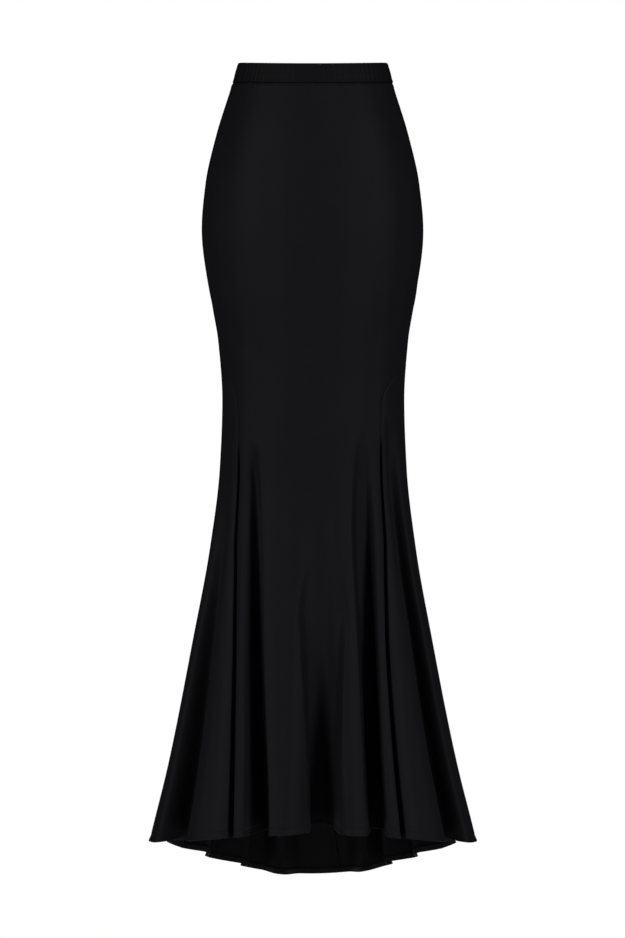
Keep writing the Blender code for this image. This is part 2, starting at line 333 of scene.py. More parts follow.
    def seam_angle(self, seam: Seam, share: np.ndarray) -> np.ndarray:
        """Give a seam's angle; above the godets their seams are the side seam.

        Args:
            seam: The seam.
            share: Share of the length from the waist seam to the hem.

        Returns:
            The angle in radians at each share.
        """
        column, side = seam.value
        if column == 0:
            return side * math.pi - math.radians(self.train_swing) * share**3
        side_drop = self.band_height + share * (self.hem_drop_side - self.band_height)
        return side * np.radians(self.seam_table.read(side_drop, column))

    def body(self, angle: np.ndarray, drop: np.ndarray) -> tuple:
        """Give the smooth body and its directions.

        Args:
            angle: Angles round the body.
            drop: Depths below the origin.

        Returns:
            Points, directions along the girth and directions outward.
        """
        half_width = self.sections_table.read(drop, 1)
        front = self.sections_table.read(drop, 2)
        back = self.sections_table.read(drop, 3)
        depth = np.where(np.cos(angle) > 0, front, back)
        place = np.stack((half_width * np.sin(angle), -depth * np.cos(angle), -drop), axis=-1)
        level = np.zeros_like(drop)
        along = unit(np.stack((half_width * np.cos(angle), depth * np.sin(angle), level), axis=-1))
        outward = np.stack((along[..., 1], -along[..., 0], level), axis=-1)
        return place, along, outward

    def fold_shape(self, away: np.ndarray, spread: float | np.ndarray) -> np.ndarray:
        """Give a fold's cross-section: a steep flank that ends in a soft shoulder.

        Args:
            away: Turn from the fold's floor, never negative.
            spread: How far round the flank reaches.

        Returns:
            Shares of the fold's depth, 1 on the floor and 0 beyond the shoulder.
        """
        steep = 0.5 + 0.5 * np.cos(math.pi * np.minimum(away / spread, 1.0))
        round_off = (1 - np.minimum(away / (spread + math.radians(self.shoulder)), 1.0)) ** 2
        return (1 - self.shoulder_part) * steep + self.shoulder_part * round_off

    def trough_push(self, trough: Trough, angle: np.ndarray, drop: np.ndarray) -> np.ndarray:
        """Give how far one trough pushes the cloth in.

        Args:
            trough: The trough.
            angle: Angles round the body.
            drop: Depths below the origin.

        Returns:
            The distance at each place, 0 outside the trough.
        """
        length = self.hem_drop(np.radians(trough.hem_angle)) - trough.start_drop
        run = np.clip((drop - trough.start_drop) / length, 0.0, 1.1)
        to_go = (1 - np.minimum(run, 1.0)) ** self.fold_curve
        centre = np.radians(trough.hem_angle + (trough.start_angle - trough.hem_angle) * to_go)
        away = turned_from(angle, centre)
        widening = 1 + (trough.softness - 1) * (1 - np.minimum(run, 1.0)) ** 2
        spread = np.radians(np.where(away < 0, trough.low_spread, trough.high_spread)) * widening
        taper = np.minimum(run / self.floor_start, 1.0) ** self.floor_taper
        floor = math.radians(trough.floor) * np.sqrt(widening) * taper
        shape = self.fold_shape(np.maximum(np.abs(away) - floor, 0.0), spread)
        return trough.depth * run**trough.growth * shape

    def seam_fold_push(
        self, fold: SeamFold, angle: np.ndarray, drop: np.ndarray, share: np.ndarray
    ) -> np.ndarray:
        """Give how far the fold along a seam pushes the cloth in.

        Args:
            fold: The fold.
            angle: Angles round the body.
            drop: Depths below the origin.
            share: Shares of the length from the waist seam to the hem.

        Returns:
            The distance at each place.
        """
        run = np.clip((drop - fold.start_drop) / (self.hem_drop_side - fold.start_drop), 0.0, 1.0)
        away = np.abs(turned_from(angle, self.seam_angle(fold.seam, share)))
        return fold.depth * run**fold.growth * self.fold_shape(away, math.radians(fold.spread))

    def crease_push(self, crease: Crease, angle: np.ndarray, drop: np.ndarray) -> np.ndarray:
        """Give how far one soft crease of the close part pushes the cloth in.

        Args:
            crease: The crease.
            angle: Angles round the body.
            drop: Depths below the origin.

        Returns:
            The distance at each place.
        """
        radius = self.sections_table.read(drop, 1) * self.crease_girth
        across = turned_from(angle, math.radians(crease.angle)) * radius
        down = drop - crease.drop
        tilt = math.radians(crease.tilt)
        line = down * math.cos(tilt) + across * math.sin(tilt)
        side = across * math.cos(tilt) - down * math.sin(tilt)
        return crease.depth * np.exp(-((line / crease.half_length) ** 2) - (side / crease.half_width) ** 2)

    def points(self, angle: np.ndarray, share: np.ndarray) -> np.ndarray:
        """Give points of the outer face of the cloth.

        Args:
            angle: Angles round the body.
            share: Shares of the length from the waist seam to the hem.

        Returns:
            The points.
        """
        drop = self.drop(angle, share)
        place, along, outward = self.body(angle, drop)
        push = np.zeros_like(drop)
        slide = np.zeros_like(drop)
        for trough in self.troughs:
            pushed = self.trough_push(trough, angle, drop)
            push += pushed
            slide += pushed * trough.lean
        for fold in self.seam_folds:
            push += self.seam_fold_push(fold, angle, drop, share)
        lift = push**2 / (2 * self.fold_slant)
        for crease in self.creases:
            push += self.crease_push(crease, angle, drop)
        for wave in self.waves:
            push += wave.height * np.sin(wave.around * angle + wave.phase) * np.sin(
                math.tau * wave.down * drop + 2 * wave.phase
            )
        place += along * slide[..., None] - outward * push[..., None]
        place[..., 2] += lift
        return place

    def normals(self, angle: np.ndarray, share: np.ndarray) -> np.ndarray:
        """Give outward unit normals of the cloth.

        Args:
            angle: Angles round the body.
            share: Shares of the length from the waist seam to the hem.

        Returns:
            The normals at the places that points gives.
        """
        step = 0.001
        across = self.points(angle + step, share) - self.points(angle - step, share)
        down = self.points(angle, share + step) - self.points(angle, share - step)
        return unit(np.cross(down, across))


# FINISHES


def linear(colour: str) -> tuple:
    """Turn an sRGB hex colour into linear red, green, blue and alpha.

    Args:
        colour: Six hex digits after a hash sign.

    Returns:
        The four linear values.
    """
    values = []
    for start in (1, 3, 5):
        value = int(colour[start : start + 2], 16) / 255
        values.append(value / 12.92 if value <= 0.04045 else ((value + 0.055) / 1.055) ** 2.4)
    return (*values, 1.0)


def add_node(
    tree: bpy.types.NodeTree, kind: str, settings: dict | None = None, inputs: dict | None = None
) -> Any:
    """Add a node to a tree with its settings, values and links.

    Args:
        tree: The node tree.
        kind: The node's type.
        settings: Property values by name.
        inputs: A value or an output socket for each input, by name or number.

    Returns:
        The node.
    """
    node = tree.nodes.new(kind)
    for name, value in (settings or {}).items():
        setattr(node, name, value)
    for key, value in (inputs or {}).items():
        if isinstance(value, bpy.types.NodeSocket):
            tree.links.new(value, node.inputs[key])
        else:
            node.inputs[key].default_value = value
    return node


def new_material(name: str) -> tuple:
    """Make an empty node material.

    Args:
        name: The finish's name.

    Returns:
        The material, its tree and its shader node.
    """
    material = bpy.data.materials.new(name)
    material.use_nodes = True
    tree = material.node_tree
    tree.nodes.clear()
    shader = add_node(tree, "ShaderNodeBsdfPrincipled")
    add_node(tree, "ShaderNodeOutputMaterial", inputs={"Surface": shader.outputs["BSDF"]})
    return material, tree, shader


def shade_between(shader: bpy.types.Node, factor: Any, shades: tuple, roughness: tuple) -> None:
    """Let a finish wander between two shades, and between two roughnesses with them.

    Args:
        shader: The finish's shader node.
        factor: The socket that says how much of the second shade shows.
        shades: The two shades.
        roughness: The two roughnesses.
    """
    tree = shader.id_data
    ends = {"Factor": factor, 6: linear(shades[0]), 7: linear(shades[1])}
    colour = add_node(tree, "ShaderNodeMix", {"data_type": "RGBA"}, ends)
    tree.links.new(colour.outputs[2], shader.inputs["Base Color"])
    ends = {"Value": factor, "To Min": roughness[0], "To Max": roughness[1]}
    rough = add_node(tree, "ShaderNodeMapRange", inputs=ends)
    tree.links.new(rough.outputs["Result"], shader.inputs["Roughness"])


@dataclass(frozen=True)
class BlackJersey:
    """Viscose jersey with elastane, knitted and piece-dyed black.

    The knit is matt and swallows light: a very dark diffuse colour, hardly any gloss, and a thin nap
    that gives a soft sheen where it is seen at a glance. Its wales run down the cloth's grain. Real
    wales are 0.6 mm apart, finer than a view of the whole skirt can show, so they are drawn at twice
    that. The dye is a little uneven, in clouds about 40 mm wide.
    """

    name: str = "black_viscose_jersey"
    shades: tuple = ("#151517", "#19191C")
    roughness: tuple = (0.53, 0.65)
    gloss: float = 0.042
    nap: float = 0.004
    nap_softness: float = 0.45
    nap_colour: str = "#8C8C96"
    wale_pitch: float = 0.0012
    course_pitch: float = 0.0010
    loop_slant: float = 1.6
    knit_height: float = 0.00010
    clouds_per_metre: float = 26.0

    def material(self) -> bpy.types.Material:
        """Make the jersey's material.

        Returns:
            The material.
        """
        material, tree, shader = new_material(self.name)
        shader.inputs["Specular IOR Level"].default_value = self.gloss
        shader.inputs["Sheen Weight"].default_value = self.nap
        shader.inputs["Sheen Roughness"].default_value = self.nap_softness
        shader.inputs["Sheen Tint"].default_value = linear(self.nap_colour)
        bump = {"Strength": 0.5, "Distance": self.knit_height, "Height": self.knit(tree)}
        relief = add_node(tree, "ShaderNodeBump", inputs=bump)
        tree.links.new(relief.outputs["Normal"], shader.inputs["Normal"])
        place = add_node(tree, "ShaderNodeTexCoord").outputs["Object"]
        dye = {"Vector": place, "Scale": self.clouds_per_metre, "Detail": 5.0, "Roughness": 0.6}
        cloud = add_node(tree, "ShaderNodeTexNoise", inputs=dye)
        shade_between(shader, cloud.outputs["Fac"], self.shades, self.roughness)
        return material

    def knit(self, tree: bpy.types.NodeTree) -> bpy.types.NodeSocket:
        """Add the nodes that give the height of the knit's loops, wale by wale and course by course.

        Args:
            tree: The material's node tree.

        Returns:
            The height, from 0 to a quarter.
        """
        kind = "ShaderNodeMath"
        uv = add_node(tree, "ShaderNodeUVMap", {"uv_map": "grain"})
        split = add_node(tree, "ShaderNodeSeparateXYZ", inputs={0: uv.outputs["UV"]})
        x, y = split.outputs["X"], split.outputs["Y"]
        wales = add_node(tree, kind, {"operation": "DIVIDE"}, {0: x, 1: self.wale_pitch}).outputs[0]
        across = add_node(tree, kind, {"operation": "PINGPONG"}, {0: wales, 1: 0.5}).outputs[0]
        courses = add_node(tree, kind, {"operation": "DIVIDE"}, {0: y, 1: self.course_pitch}).outputs[0]
        slanted = {0: across, 1: self.loop_slant, 2: courses}
        slant = add_node(tree, kind, {"operation": "MULTIPLY_ADD"}, slanted).outputs[0]
        loop = add_node(tree, kind, {"operation": "PINGPONG"}, {0: slant, 1: 0.5}).outputs[0]
        return add_node(tree, kind, {"operation": "MULTIPLY"}, {0: loop, 1: across}).outputs[0]


@dataclass(frozen=True)
class PolyesterThread:
    """Spun polyester sewing thread, dyed black: rounder and a little glossier than the jersey it sews."""

    name: str = "black_polyester_thread"
    shades: tuple = ("#0B0B0C", "#121214")
    roughness: tuple = (0.42, 0.57)
    gloss: float = 0.25
    twist_pitch: float = 0.0008

    def material(self) -> bpy.types.Material:
        """Make the thread's material.

        Returns:
            The material.
        """
        material, tree, shader = new_material(self.name)
        shader.inputs["Specular IOR Level"].default_value = self.gloss
        place = add_node(tree, "ShaderNodeTexCoord").outputs["Object"]
        plies = {"Vector": place, "Scale": 1 / (self.twist_pitch * math.tau)}
        twist = add_node(tree, "ShaderNodeTexWave", {"bands_direction": "DIAGONAL"}, plies)
        shade_between(shader, twist.outputs["Fac"], self.shades, self.roughness)
        return material


@dataclass(frozen=True)
class PaleStudioFloor:
    """Matt white studio vinyl: even, with the faintest cloudiness."""

    name: str = "matt_white_studio_vinyl"
    shades: tuple = ("#F4F4F4", "#EFEFEF")
    roughness: tuple = (0.9, 0.9)
    gloss: float = 0.1

    def material(self) -> bpy.types.Material:
        """Make the floor's material.

        Returns:
            The material.
        """
        material, tree, shader = new_material(self.name)
        shader.inputs["Specular IOR Level"].default_value = self.gloss
        place = add_node(tree, "ShaderNodeTexCoord").outputs["Object"]
        cloud = add_node(tree, "ShaderNodeTexNoise", inputs={"Vector": place, "Scale": 0.8, "Detail": 2.0})
        shade_between(shader, cloud.outputs["Fac"], self.shades, self.roughness)
        return material


# MAKING MESHES


def grid_faces(rows: int, columns: int, closed: bool = False) -> np.ndarray:
    """List the faces of a grid of points, row by row, top to bottom and towards +angle, facing out.

    Args:
        rows: Rows of points.
        columns: Points in each row.
        closed: Whether the last column joins the first.

    Returns:
        Four corner numbers for each face.
    """
    across = columns if closed else columns - 1
    row, column = np.meshgrid(np.arange(rows - 1), np.arange(across), indexing="ij")
    following = (column + 1) % columns
    corners = (
        row * columns + column,
        (row + 1) * columns + column,
        (row + 1) * columns + following,
        row * columns + following,
    )
    return np.stack(corners, axis=-1).reshape(-1, 4)


def mesh_object(
    name: str, points: np.ndarray, faces: list, material: bpy.types.Material
) -> bpy.types.Object:
    """Make a smooth-shaded mesh object at the origin.

    Args:
        name: The object's name.
        points: Corner points.
        faces: Corner numbers of each face.
        material: Its finish.

    Returns:
        The object.
    """
    mesh = bpy.data.meshes.new(name)
    mesh.from_pydata(points.reshape(-1, 3).tolist(), [], faces)
    mesh.shade_smooth()
    mesh.materials.append(material)
    piece = bpy.data.objects.new(name, mesh)
    bpy.context.scene.collection.objects.link(piece)
    return piece


def add_grain(piece: bpy.types.Object, grain: np.ndarray) -> None:
    """Give a mesh its grain: a UV map in metres, across and along the cloth.

    Args:
        piece: The mesh object.
        grain: Two values for each point.
    """
    layer = piece.data.uv_layers.new(name="grain")
    corner_points = np.zeros(len(piece.data.loops), np.int32)
    piece.data.loops.foreach_get("vertex_index", corner_points)
    layer.data.foreach_set("uv", grain.reshape(-1, 2)[corner_points].astype(np.float32).ravel())


def apply_modifiers(piece: bpy.types.Object) -> None:
    """Replace a piece's mesh by the plain mesh that its modifiers make, and remove them.

    Args:
        piece: The mesh object.
    """
    evaluated = piece.evaluated_get(bpy.context.evaluated_depsgraph_get())
    finished = bpy.data.meshes.new_from_object(evaluated)
    piece.modifiers.clear()
    piece.data = finished


def merge_into(piece: bpy.types.Object, part: bpy.types.Object) -> None:
    """Move a part's mesh into a piece's mesh and remove the part.

    Args:
        piece: The object that keeps both meshes.
        part: The object that goes.
    """
    both = bmesh.new()
    both.from_mesh(piece.data)
    both.from_mesh(part.data)
    both.to_mesh(piece.data)
    both.free()
    bpy.data.objects.remove(part)


def running_lengths(points: np.ndarray) -> np.ndarray:
    """Give the distance along each row of points from the row's first."""
    steps = np.linalg.norm(np.diff(points, axis=1), axis=-1)
    return np.concatenate((np.zeros((len(points), 1)), np.cumsum(steps, axis=1)), axis=1)


# THE CUT PIECES


@dataclass(frozen=True)
class SeamTurning:
    """The two allowances inside one seam, overlocked together and pressed to one side."""

    seam: Seam
    pressed_to: int
    top_drop: float
    width: float = 0.0065
    overlap: float = 0.0014
    thickness: float = 0.0015
    clearance: float = 0.00012
    columns: int = 6
    hem_blend: float = 0.0008
    hem_margin: float = 0.0012
    stitch_span: tuple = (0.55, 0.97)
    stitch_lift: float = 0.0001

    def outer_face(self, panel: "Panel", distance: np.ndarray) -> tuple:
        """Work out the face that lies against the panels, and its normals.

        Args:
            panel: A panel that the seam joins.
            distance: Distances from the seam, towards the side that the turning is pressed to.

        Returns:
            Points, outward normals and the distance above the hem of each.
        """
        form = panel.form
        share = form.levels(self.top_drop)[2:-1]
        seam = form.seam_angle(self.seam, share)[:, None] + np.zeros_like(distance)[None, :]
        shares = share[:, None] + np.zeros_like(distance)[None, :]
        nudge = 0.0005
        either_side = form.points(seam + nudge, shares) - form.points(seam - nudge, shares)
        pace = np.linalg.norm(either_side, axis=-1)
        angle = seam + self.pressed_to * distance[None, :] * 2 * nudge / pace
        above_hem = (1 - shares) * form.length(angle)
        # One layer of cloth lies outside the strip, and two where it runs over the turned hem.
        above_turning = above_hem - panel.turning - self.hem_margin
        layers = 1.5 - 0.5 * np.tanh(above_turning / self.hem_blend)
        sink = panel.sink(np.abs(distance)[None, :], above_hem)
        inset = sink + panel.cloth_thickness * layers + self.clearance
        normals = form.normals(angle, shares)
        return form.points(angle, shares) - normals * inset[..., None], normals, above_hem

    def build(self, panel: "Panel", jersey: bpy.types.Material) -> bpy.types.Object:
        """Make the turning as one closed strip.

        Args:
            panel: The panel that it is counted with.
            jersey: The cloth's finish.

        Returns:
            The strip.
        """
        distance = np.linspace(-self.overlap, self.width, self.columns)
        outer, normals, above_hem = self.outer_face(panel, distance)
        inner = outer - normals * self.thickness
        ring = np.concatenate((outer, inner[:, ::-1]), axis=1)
        rows, around = ring.shape[:2]
        top_cap = list(range(around))
        hem_cap = [number + (rows - 1) * around for number in top_cap[::-1]]
        faces = grid_faces(rows, around, closed=True).tolist() + [top_cap, hem_cap]
        if self.pressed_to < 0:
            faces = [face[::-1] for face in faces]
        strip = mesh_object(f"{panel.name}_turning", ring, faces, jersey)
        across = np.concatenate((distance, distance[::-1] + 0.01))
        add_grain(strip, np.stack(np.broadcast_arrays(across[None, :], above_hem[:, :1]), axis=-1))
        return strip

    def free_edge(self, panel: "Panel") -> tuple:
        """Trace the line just inside the overlocked edge and the way its stitches lie.

        Args:
            panel: The panel that the turning is counted with.

        Returns:
            Points down the edge and unit directions across it.
        """
        outer, normals, _ = self.outer_face(panel, np.array(self.stitch_span) * self.width)
        line = (outer[:, 0] + outer[:, 1]) / 2 - normals[:, 1] * (self.thickness + self.stitch_lift)
        return line, unit(outer[:, 1] - outer[:, 0])


class Cut(NamedTuple):
    """How a kind of panel is cut: the side drop of its top, its columns, its flat size and area."""

    top_drop: float
    columns: int
    flat: tuple
    area: float


@dataclass
class Panel:
    """One panel of the skirt, between two seams, from its top edge to the hem."""

    form: SkirtForm
    name: str
    low_seam: Seam
    high_seam: Seam
    cut: Cut
    turnings: tuple = ()
    cloth_thickness: float = 0.0009
    seam_gap: float = 0.0001
    even_share: float = 0.4
    seam_depth: float = 0.0007
    seam_reach: float = 0.0022
    turning: float = 0.009
    stitch_depth: float = 0.0005
    stitch_reach: float = 0.0015
    hem_roll: float = 0.0012
    hem_roll_reach: float = 0.004
    tuck_depth: float = 0.0016
    tuck_reach: float = 0.0024
    allowance_height: float = 0.0004
    allowance_drop: float = 0.006
    allowance_reach: float = 0.0022
    pucker_height: float = 0.0003
    pucker_reach: float = 0.018

    def surface(self) -> tuple:
        """Work out the outer face.

        Returns:
            Its points, its normals, the distance along each row from the row's middle, the distance
            above the hem and the distance below the waist seam.
        """
        share = self.form.levels(self.cut.top_drop)
        low = self.form.seam_angle(self.low_seam, share)
        high = self.form.seam_angle(self.high_seam, share)
        shares = np.repeat(share[:, None], self.cut.columns, axis=1)
        angle = self.column_angles(low, high, shares)
        points = self.form.points(angle, shares)
        normals = self.form.normals(angle, shares)
        length = self.form.length(angle)
        run = running_lengths(points)
        run -= run[:, self.cut.columns // 2][:, None]
        return points, normals, run, (1 - shares) * length, shares * length

    def column_angles(self, low: np.ndarray, high: np.ndarray, shares: np.ndarray) -> np.ndarray:
        """Share out each row's points, closer together on the steep sides of the folds.

        Args:
            low: Each row's lowest angle.
            high: Each row's highest angle.
            shares: Share of the length at each point.

        Returns:
            The angle of each point.
        """
        across = np.linspace(0, 1, self.cut.columns)
        even = low[:, None] + (high - low)[:, None] * across[None, :]
        rows = zip(running_lengths(self.form.points(even, shares)), even)
        angles = [np.interp(across * run[-1], run, row) for run, row in rows]
        return self.even_share * even + (1 - self.even_share) * np.array(angles)

    def build(self, jersey: bpy.types.Material) -> bpy.types.Object:
        """Make the panel and stand it in for its CAD node.

        Args:
            jersey: The cloth's finish.

        Returns:
            The panel.
        """
        points, normals, run, above_hem, below_waist = self.surface()
        edge = np.minimum(run - run[:, :1], run[:, -1:] - run)
        sink = self.sink(edge, above_hem)
        if self.cut.top_drop <= self.form.band_height:
            sink += self.waist_tuck(points, below_waist)
        points = self.trim(points - normals * sink[..., None])
        piece = mesh_object(f"{self.name}_cloth", points, grid_faces(*run.shape).tolist(), jersey)
        add_grain(piece, np.stack((run, below_waist), axis=-1))
        self.thicken(piece, above_hem)
        for turning in self.turnings:
            merge_into(piece, turning.build(self, jersey))
        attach(piece, BODY)
        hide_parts(self.name)
        return piece

    def waist_tuck(self, points: np.ndarray, below_waist: np.ndarray) -> np.ndarray:
        """Give how the top edge tucks under the band and puckers below it.

        Args:
            points: The outer face.
            below_waist: Distance below the band of each point.

        Returns:
            How far each point sinks in.
        """
        angle = np.arctan2(points[..., 0], -points[..., 1])
        unevenness = 0.6 + 0.4 * np.sin(9 * angle + 1.0) * np.sin(23 * angle)
        tuck = self.tuck_depth * unevenness * np.exp(-((below_waist / self.tuck_reach) ** 2))
        from_allowance = (below_waist - self.allowance_drop) / self.allowance_reach
        pucker = np.sin(61 * angle + 1.5 * np.sin(7 * angle)) * (0.5 + 0.5 * np.sin(5 * angle + 0.8))
        puckers = self.pucker_height * pucker * np.exp(-below_waist / self.pucker_reach)
        return tuck - self.allowance_height * np.exp(-(from_allowance**2)) + puckers

    def sink(self, edge: np.ndarray, above_hem: np.ndarray) -> np.ndarray:
        """Give how far the outer face sinks at its seams and hem stitches, and swells at the hem's fold.

        Args:
            edge: Distance from the nearest seam.
            above_hem: Distance above the hem.

        Returns:
            The distance inwards at each place.
        """
        seams = self.seam_depth * np.exp(-((edge / self.seam_reach) ** 2))
        stitches = self.stitch_depth * np.exp(-(((above_hem - self.turning) / self.stitch_reach) ** 2))
        return seams + stitches - self.hem_roll * np.exp(-((above_hem / self.hem_roll_reach) ** 2))

    def trim(self, points: np.ndarray) -> np.ndarray:
        """Draw both edges back from their seams, so that neighbours don't touch.

        Args:
            points: The outer face.

        Returns:
            The points, the edge columns drawn back.
        """
        trimmed = points.copy()
        for edge, following in ((0, 1), (-1, -2)):
            step = points[:, following] - points[:, edge]
            length = np.linalg.norm(step, axis=-1, keepdims=True)
            trimmed[:, edge] += step / np.maximum(length, 1e-6) * np.minimum(self.seam_gap, 0.4 * length)
        return trimmed

    def thicken(self, piece: bpy.types.Object, above_hem: np.ndarray) -> None:
        """Turn the face into cloth: one layer thick, and two in the turned hem.

        Args:
            piece: The panel's outer face.
            above_hem: Distance above the hem of each point.
        """
        group = piece.vertex_groups.new(name="layers")
        group.add(np.nonzero(above_hem.ravel() < self.turning)[0].tolist(), 1.0, "REPLACE")
        wall = piece.modifiers.new("cloth", "SOLIDIFY")
        wall.thickness = 2 * self.cloth_thickness
        wall.offset = -1.0
        wall.vertex_group = group.name
        wall.thickness_vertex_group = 0.5
        apply_modifiers(piece)


def cut_panels(form: SkirtForm) -> tuple:
    """Cut the five panels, each with the seam turnings that are pressed to it.

    Args:
        form: The form that they hang in.

    Returns:
        The panels: front, back left and right, godet left and right.
    """
    side, apex = form.band_height, form.apex_drop
    front = Cut(side, 245, (0.67, 1.12), 0.48)
    back = Cut(side, 141, (0.32, 1.24), 0.225)
    godet = Cut(apex, 241, (0.63, 0.83), 0.235)
    front_turnings = SeamTurning(Seam.LEFT_FRONT, 1, side), SeamTurning(Seam.RIGHT_FRONT, -1, side)
    left_turnings = (SeamTurning(Seam.LEFT_BACK, 1, apex),)
    right_turnings = (SeamTurning(Seam.RIGHT_BACK, -1, apex),)
    centre_turnings = (SeamTurning(Seam.CENTRE_BACK_LEFT, -1, side),)
    return (
        Panel(form, "front_panel", Seam.RIGHT_FRONT, Seam.LEFT_FRONT, front, front_turnings),
        Panel(form, "back_panel_left", Seam.LEFT_BACK, Seam.CENTRE_BACK_LEFT, back, centre_turnings),
        Panel(form, "back_panel_right", Seam.CENTRE_BACK_RIGHT, Seam.RIGHT_BACK, back),
        Panel(form, "godet_left", Seam.LEFT_FRONT, Seam.LEFT_BACK, godet, left_turnings),
        Panel(form, "godet_right", Seam.RIGHT_BACK, Seam.RIGHT_FRONT, godet, right_turnings),
    )


@dataclass
class Waistband:
    """The elasticated casing: jersey folded over an elastic, gathered a little all round."""

    form: SkirtForm
    name: str = "waistband"
    columns: int = 1100
    thickness: float = 0.0030
    overhang: float = 0.0006
    rib_height: float = 0.00035
    face_rows: int = 14
    fold_rows: int = 7
    swell: float = 0.0005
    inside_share: float = 0.985
    turning: float = 0.006
    turning_insets: tuple = (0.0027, 0.0040)
    grain_radius: float = 0.108
    grain_height: float = 0.06
    flat: tuple = (0.66, 0.030)

    def profile(self) -> list:
        """Give the casing's section: share of the height and distance inside the outer face, anticlockwise.

        Returns:
            The section's points, from the outer bottom edge up, over and down the inside.
        """
        half = self.thickness / 2
        fold_share = half / self.form.band_height
        outer = [(share, 0.0) for share in np.linspace(1.0, fold_share, self.face_rows)]
        turns = np.linspace(0, math.pi, self.fold_rows + 2)[1:-1]
        fold = [(fold_share * (1 - math.sin(turn)), half * (1 - math.cos(turn))) for turn in turns]
        inside = np.linspace(fold_share, self.inside_share, self.face_rows)
        inner = [(share, self.thickness) for share in inside]
        front, back = self.turning_insets
        end = 1 + self.turning / self.form.band_height
        turning = [(1.0, back), (end, back), (end + 0.01, (front + back) / 2), (end, front), (1.0, front)]
        return outer + fold + inner + turning

    def ribs(self, angle: np.ndarray) -> np.ndarray:
        """Give the gathers: narrow uneven ribs, stronger towards the sides.

        Args:
            angle: Angles round the body.

        Returns:
            The ribs' height at each angle.
        """
        strength = 0.35 + 0.65 * np.sin(angle) ** 2
        drift = 1.7 * np.sin(3 * angle + 0.5) + 1.1 * np.sin(11 * angle)
        fine = np.sin(96 * angle + drift) + 0.5 * np.sin(151 * angle - 2 * drift)
        return self.rib_height * strength * fine

    def build(self, jersey: bpy.types.Material) -> bpy.types.Object:
        """Make the band and stand it in for its CAD node.

        Args:
            jersey: The cloth's finish.

        Returns:
            The band.
        """
        section = np.array(self.profile())
        angle = np.linspace(-math.pi, math.pi, self.columns, endpoint=False)
        angles, shares = np.meshgrid(angle, section[:, 0])
        insets = np.repeat(section[:, 1][:, None], self.columns, axis=1)
        drop = shares * (self.form.band_height - self.form.waist_gap)
        place, _, outward = self.form.body(angles, drop)
        place[..., 2] -= self.form.waist_dip(angles)
        middle = np.sin(math.pi * np.clip(shares, 0, 1)) ** 0.7
        swell = self.ribs(angles) * (0.35 + 0.65 * middle) + self.swell * middle
        swell += self.overhang * (shares > 0.9)
        face = np.where(insets < self.thickness / 2, 1.0, -0.5)
        place += outward * (swell * face - insets)[..., None]
        rows = len(section)
        faces = np.vstack((grid_faces(rows, self.columns, closed=True)[:, ::-1], self.closing_faces(rows)))
        piece = mesh_object(f"{self.name}_cloth", place, faces.tolist(), jersey)
        run = (angle * self.grain_radius)[None, :]
        down = np.linspace(0, self.grain_height, rows)[:, None]
        add_grain(piece, np.stack(np.broadcast_arrays(run, down), axis=-1))
        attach(piece, BODY)
        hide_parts(self.name)
        return piece

    def closing_faces(self, rows: int) -> np.ndarray:
        """List the faces that join the section's last row to its first, along the waist seam.

        Args:
            rows: Rows of points round the section.

        Returns:
            Four corner numbers for each face.
        """
        here = np.arange(self.columns)
        following = (here + 1) % self.columns
        last = (rows - 1) * self.columns
        return np.stack((last + following, following, here, last + here), axis=-1)


# STITCHES


class Stitch(Enum):
    """A kind of stitch: its pitch, length and thread radius, how unevenly it lies, and its seed."""

    COVER = (0.0030, 0.0024, 0.00020, 0.06, 3)
    OVERLOCK = (0.0024, 0.0034, 0.00019, 0.22, 7)


